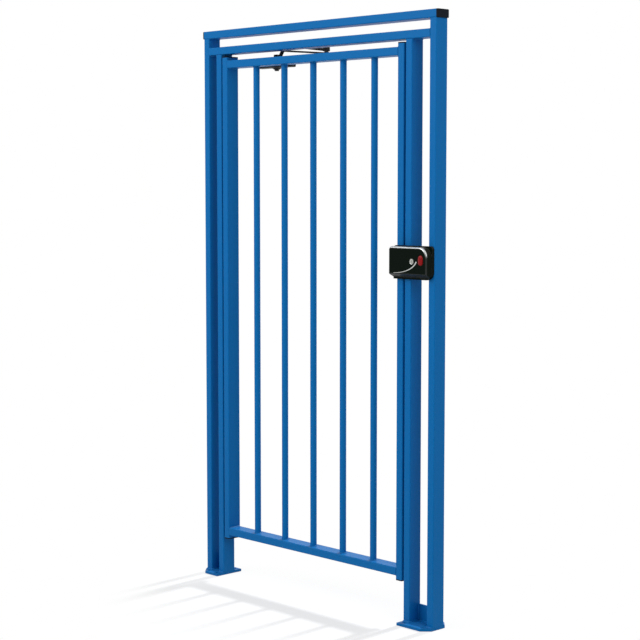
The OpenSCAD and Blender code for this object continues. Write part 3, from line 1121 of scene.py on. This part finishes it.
@dataclass
class BarLeaf(SubAssembly):
    """The hinged leaf: stiles, rails and bars, with their weld beads.

    Attributes:
        tube_corner: Corner radius of the tube.
        bar_bead: The bead round a bar's end.
        bar_steps: Points in that bead's path.
        bars: The bars' nodes.
    """

    tube_corner: float = TUBE_CORNER
    bar_bead: Bead = Bead(leg=2.6 * MM)
    bar_steps: int = 24
    bars: tuple[str, ...] = ("bar_1", "bar_2", "bar_3", "bar_4", "bar_5")

    def dress(self) -> None:
        """Paints the nodes and adds the beads."""
        nodes = ["hinge_stile", "latch_stile", "leaf_top_rail", "leaf_bottom_rail", *self.bars]
        self.shop.coat(nodes, Slot.PAINT)
        self._bar_beads()
        self._corner_beads()

    def _bar_beads(self) -> None:
        """Adds a bead round each end of each bar."""
        mesh = bmesh.new()
        for bar in self.bars:
            span = Span.of(bar)
            r = span.size.x / 2
            for z, rise in ((span.low.z, UP), (span.high.z, DOWN)):
                path = []
                for i in range(self.bar_steps):
                    a = math.tau * i / self.bar_steps
                    out = Vector((math.cos(a), math.sin(a), 0))
                    path.append((Vector((span.centre.x, span.centre.y, z)) + out * r, out))
                self.bar_bead.build(mesh, path, rise, closed=True)
        self.shop.finish("bead_bars", mesh, Body.LEAF, Slot.PAINT)

    def _corner_beads(self) -> None:
        """Adds the beads where the rails meet the stiles."""
        mesh = bmesh.new()
        for rail in ("leaf_top_rail", "leaf_bottom_rail"):
            span = Span.of(rail)
            half = span.size.y / 2 - self.tube_corner
            for x, side in ((span.low.x, 1), (span.high.x, -1)):
                for z, rise in ((span.low.z, DOWN), (span.high.z, UP)):
                    Bead().build(mesh, across(x, z, half, side), rise)
        self.shop.finish("bead_leaf_corners", mesh, Body.LEAF, Slot.PAINT)


@dataclass
class TubePlugs(SubAssembly):
    """The black plastic plugs in the ends of the top rail and the stiles.

    Attributes:
        nodes: The plugs' nodes.
    """

    nodes: tuple[str, ...] = (
        "top_rail_plug_hinge_side", "top_rail_plug_latch_side",
        "stile_plug_hinge_top", "stile_plug_hinge_bottom",
        "stile_plug_latch_top", "stile_plug_latch_bottom",
    )

    def dress(self) -> None:
        """Gives the plugs their moulded plastic."""
        self.shop.coat(self.nodes, Slot.PLUG)


@dataclass
class WeldHinges(SubAssembly):
    """The hinges on the back of the gate, with their weld beads.

    Attributes:
        count: How many hinges there are.
        plate_w: Width of the plate of a hinge's half.
        seam: Gap between the beads of a hinge's two halves.
        bead: The bead along a plate's free edges.
    """

    count: int = 3
    plate_w: float = 20 * MM
    seam: float = 0.3 * MM
    bead: Bead = Bead(leg=2 * MM)

    def dress(self) -> None:
        """Paints both halves of each hinge and adds their beads."""
        for i in range(1, self.count + 1):
            pin_half = f"hinge_pin_half_{i}"
            socket_half = f"hinge_socket_half_{i}"
            self.shop.coat((pin_half, socket_half), Slot.PAINT)
            self._bead(pin_half, Body.FRAME, -1)
            self._bead(socket_half, Body.LEAF, 1)

    def _bead(self, node: str, body: Body, side: int) -> None:
        """Adds the bead along a hinge half's free edges.

        Args:
            node: The half's node.
            body: The body it belongs to.
            side: -1 where the half's plate reaches towards -X, 1 towards +X.
        """
        span = Span.of(node)
        y = span.low.y
        x = span.low.x if side < 0 else span.high.x
        top = span.high.z if side > 0 else Span.of(node.replace("pin", "socket")).low.z - self.seam
        bottom = span.low.z
        inner = x - side * self.plate_w
        mesh = bmesh.new()
        edges = (
            (Vector((x, y, bottom)), Vector((x, y, top)), Vector((side, 0, 0))),
            (Vector((inner, y, bottom)), Vector((x, y, bottom)), DOWN),
        )
        for a, b, out in edges:
            self.bead.build(mesh, straight(a, b, out), Vector((0, 1, 0)))
        self.shop.finish("bead_" + node, mesh, body, Slot.PAINT)


@dataclass
class ArmCloser(SubAssembly):
    """The hydraulic closer: body, cranked arm, forearm and shoe.

    Attributes:
        hub_rise: How far the arm's hub stands above the body.
        arm_screw: The screw that holds the arm on its spindle.
        cap_drop: How far the end cap's middle lies below the body's top.
        valve: An adjusting valve.
        valve_y: How far each valve stands off the cap's middle.
        screw: The shoe's fixing screw.
        screw_x: How far each of those stands off the shoe's middle.
        screw_z: Their height above the shoe's lower edge.
        flange_t: Thickness of the shoe's flange.
    """

    hub_rise: float = 9.5 * MM
    arm_screw: SocketScrew = SocketScrew(11 * MM, 1.2 * MM, 5 * MM)
    cap_drop: float = 22 * MM
    valve: SocketScrew = SocketScrew(5 * MM, 1.2 * MM, 2.5 * MM)
    valve_y: float = 4 * MM
    screw: SocketScrew = SocketScrew()
    screw_x: float = 21 * MM
    screw_z: float = 11 * MM
    flange_t: float = 5 * MM

    def dress(self) -> None:
        """Paints the nodes and adds the valves and screws."""
        nodes = ("closer_body", "closer_main_arm", "closer_forearm", "closer_shoe")
        self.shop.coat(nodes, Slot.CLOSER)
        self._valves()
        self._arm_screw()
        self._shoe_screws()

    def _valves(self) -> None:
        """Adds the two adjusting valves on the body's end."""
        span = Span.of("closer_body")
        mesh = bmesh.new()
        for side in (-1, 1):
            y = span.centre.y + side * self.valve_y
            at = Vector((span.high.x, y, span.high.z - self.cap_drop))
            self.valve.build(mesh, Facing.LATCH.at(at))
        self.shop.finish("closer_valves", mesh, Body.LEAF, Slot.ZINC)

    def _arm_screw(self) -> None:
        """Adds the low screw that holds the arm on its spindle."""
        joint = next(j for j in frame["joints"] if j["child"] == Body.CLOSER_ARM.value)
        at = Vector(joint["pos_m"])
        at.z = Span.of("closer_body").high.z + self.hub_rise
        mesh = bmesh.new()
        self.arm_screw.build(mesh, Facing.UP.at(at))
        self.shop.finish("closer_arm_screw", mesh, Body.CLOSER_ARM, Slot.CLOSER)

    def _shoe_screws(self) -> None:
        """Adds the shoe's two fixing screws."""
        span = Span.of("closer_shoe")
        mesh = bmesh.new()
        for side in (-1, 1):
            x = span.centre.x + side * self.screw_x
            at = Vector((x, span.low.y + self.flange_t, span.low.z + self.screw_z))
            self.screw.build(mesh, Facing.BACK.at(at))
        self.shop.finish("closer_shoe_screws", mesh, Body.FRAME, Slot.ZINC)


@dataclass
class BoxLock(SubAssembly):
    """The lock on the front: case, cylinder, button, trim line and keeper.

    Attributes:
        crown: The button's rounding from its back to its face: how far each ring
            lies inside the outline and behind the face.
        steps: Points in each of those rings.
        sharp: Angle in degrees past which the button's edges stay sharp.
    """

    crown: tuple[tuple[float, float], ...] = (
        (0.8 * MM, 12 * MM), (0.8 * MM, 4.6 * MM), (1.4 * MM, 3.2 * MM), (3.0 * MM, 1.9 * MM),
        (5.5 * MM, 0.9 * MM), (8.5 * MM, 0.25 * MM), (11.5 * MM, 0.0),
    )
    steps: int = 40
    sharp: float = 50.0

    def dress(self) -> None:
        """Gives the nodes their finishes and adds the crowned button."""
        self.shop.coat(("lock_case",), Slot.LOCK)
        self.shop.coat(("key_cylinder",), Slot.CYLINDER)
        self.shop.coat(("lock_trim",), Slot.TRIM)
        self.shop.coat(("lock_keeper",), Slot.ZINC)
        self._button()

    def _button(self) -> None:
        """Makes the crowned release button that stands for its plain solid."""
        span = Span.of("release_button")
        r = span.size.x / 2
        half = span.size.z / 2 - r
        face = span.low.y
        rings = [self._stadium(r - inset, half, span.centre, face + back) for inset, back in self.crown]
        mesh = bmesh.new()
        skin(mesh, rings)
        piece = self.shop.finish(
            "crowned_button", mesh, Body.LOCK_BUTTON, Slot.BUTTON, self.sharp)
        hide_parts("release_button")

    def _stadium(self, r: float, half: float, centre: Vector, y: float) -> list[Vector]:
        """Upright slot-shaped ring.

        Args:
            r: Radius of its round ends.
            half: Half the distance between their centres.
            centre: The ring's centre.
            y: Where the ring lies along Y.

        Returns:
            The ring's points.
        """
        ring = []
        for i in range(self.steps):
            a = math.tau * (i + 0.5) / self.steps
            z = centre.z + (half if math.sin(a) > 0 else -half) + r * math.sin(a)
            ring.append(Vector((centre.x + r * math.cos(a), y, z)))
        return ring


# --- Studio ---


@dataclass(frozen=True)
class SoftBox:
    """A square area light.

    Attributes:
        name: Its name.
        at: Where it stands.
        aim: The point it looks at.
        size: Its side.
        power: Its power in watts.
    """

    name: str
    at: Point
    aim: Point
    size: float
    power: float

    def build(self) -> None:
        """Adds the light to the scene."""
        data = bpy.data.lights.new(self.name, "AREA")
        data.shape = "SQUARE"
        data.size = self.size
        data.energy = self.power
        new_object(self.name, data, Vector(self.aim) - Vector(self.at)).location = self.at


@dataclass
class Studio:
    """Floor, background, lights and camera.

    Attributes:
        backdrop: The floor's finish and the background.
        boxes: The soft boxes.
        eye: Where the camera stands.
        turn: How far it turns from +Y towards -X, in degrees.
        tilt: How far it looks up, in degrees.
        lens: Focal length, in millimetres.
        sensor: Width of the sensor, in millimetres.
        world_level: Strength of the world's soft light.
        sun_level: Strength of the low lamp behind the gate.
        sun_spread: Angle of that lamp's disc, in degrees.
        sun_way: Direction of its light.
    """

    backdrop: Backdrop = Backdrop()
    boxes: tuple[SoftBox, ...] = (
        SoftBox("front_box", (-0.8, -4.1, 3.7), GATE_MIDDLE, 3.2, 118.0),
        SoftBox("side_box", (5.0, -1.2, 3.2), GATE_MIDDLE, 2.6, 63.0),
    )
    eye: Point = (5.0782, -4.2649, 1.6109)
    turn: float = 46.447
    tilt: float = -4.928
    lens: float = 91.905
    sensor: float = 36.0
    world_level: float = 0.40
    sun_level: float = 2.4
    sun_spread: float = 5.5
    sun_way: Point = (0.045, -0.75, -0.66)

    def build(self) -> None:
        """Builds the whole studio."""
        self._floor()
        self._world()
        self._lights()
        self._camera()
        bpy.context.scene.view_settings.view_transform = "Standard"

    def _floor(self) -> None:
        """Lays the pale floor."""
        mesh = bmesh.new()
        s = self.backdrop.size
        corners = ((-s, -s), (s, -s), (s, s), (-s, s))
        mesh.faces.new([mesh.verts.new((x, y, 0.0)) for x, y in corners])
        data = bpy.data.meshes.new("studio_floor")
        mesh.to_mesh(data)
        mesh.free()
        data.materials.append(self.backdrop.floor_material())
        floor = new_object("studio_floor", data)

    def _world(self) -> None:
        """Makes the world: soft light, and white where it is seen."""
        world = bpy.data.worlds.new("studio_world")
        world.use_nodes = True
        g = Graph(world.node_tree)
        lamp = world.node_tree.nodes["Background"]
        lamp.inputs["Color"].default_value = (1.0, 1.0, 1.0, 1.0)
        rest = 1.0 - self.world_level
        level = g.maths("MULTIPLY_ADD", self.backdrop.seen(g), rest, self.world_level)
        g.join(level, lamp.inputs["Strength"])
        bpy.context.scene.world = world

    def _lights(self) -> None:
        """Hangs the soft boxes and the low lamp behind the gate."""
        for box in self.boxes:
            box.build()
        data = bpy.data.lights.new("back_lamp", "SUN")
        data.energy = self.sun_level
        data.angle = math.radians(self.sun_spread)
        new_object("back_lamp", data, Vector(self.sun_way))

    def _camera(self) -> None:
        """Sets up the camera."""
        data = bpy.data.cameras.new("camera")
        data.lens = self.lens
        data.sensor_width = self.sensor
        camera = new_object("camera", data)
        camera.location = self.eye
        camera.rotation_euler = (math.radians(90.0 + self.tilt), 0.0, math.radians(self.turn))
        bpy.context.scene.camera = camera


def main() -> None:
    """Builds the studio, then dresses each sub-assembly in turn."""
    logging.basicConfig(level=logging.INFO, format="%(name)s: %(message)s")
    Studio().build()
    shop = Workshop()
    for part in (PostFrame, BarLeaf, TubePlugs, WeldHinges, ArmCloser, BoxLock):
        LOG.info("dressing %s", part.__name__)
        part(shop).dress()


if __name__ == "__main__":
    main()
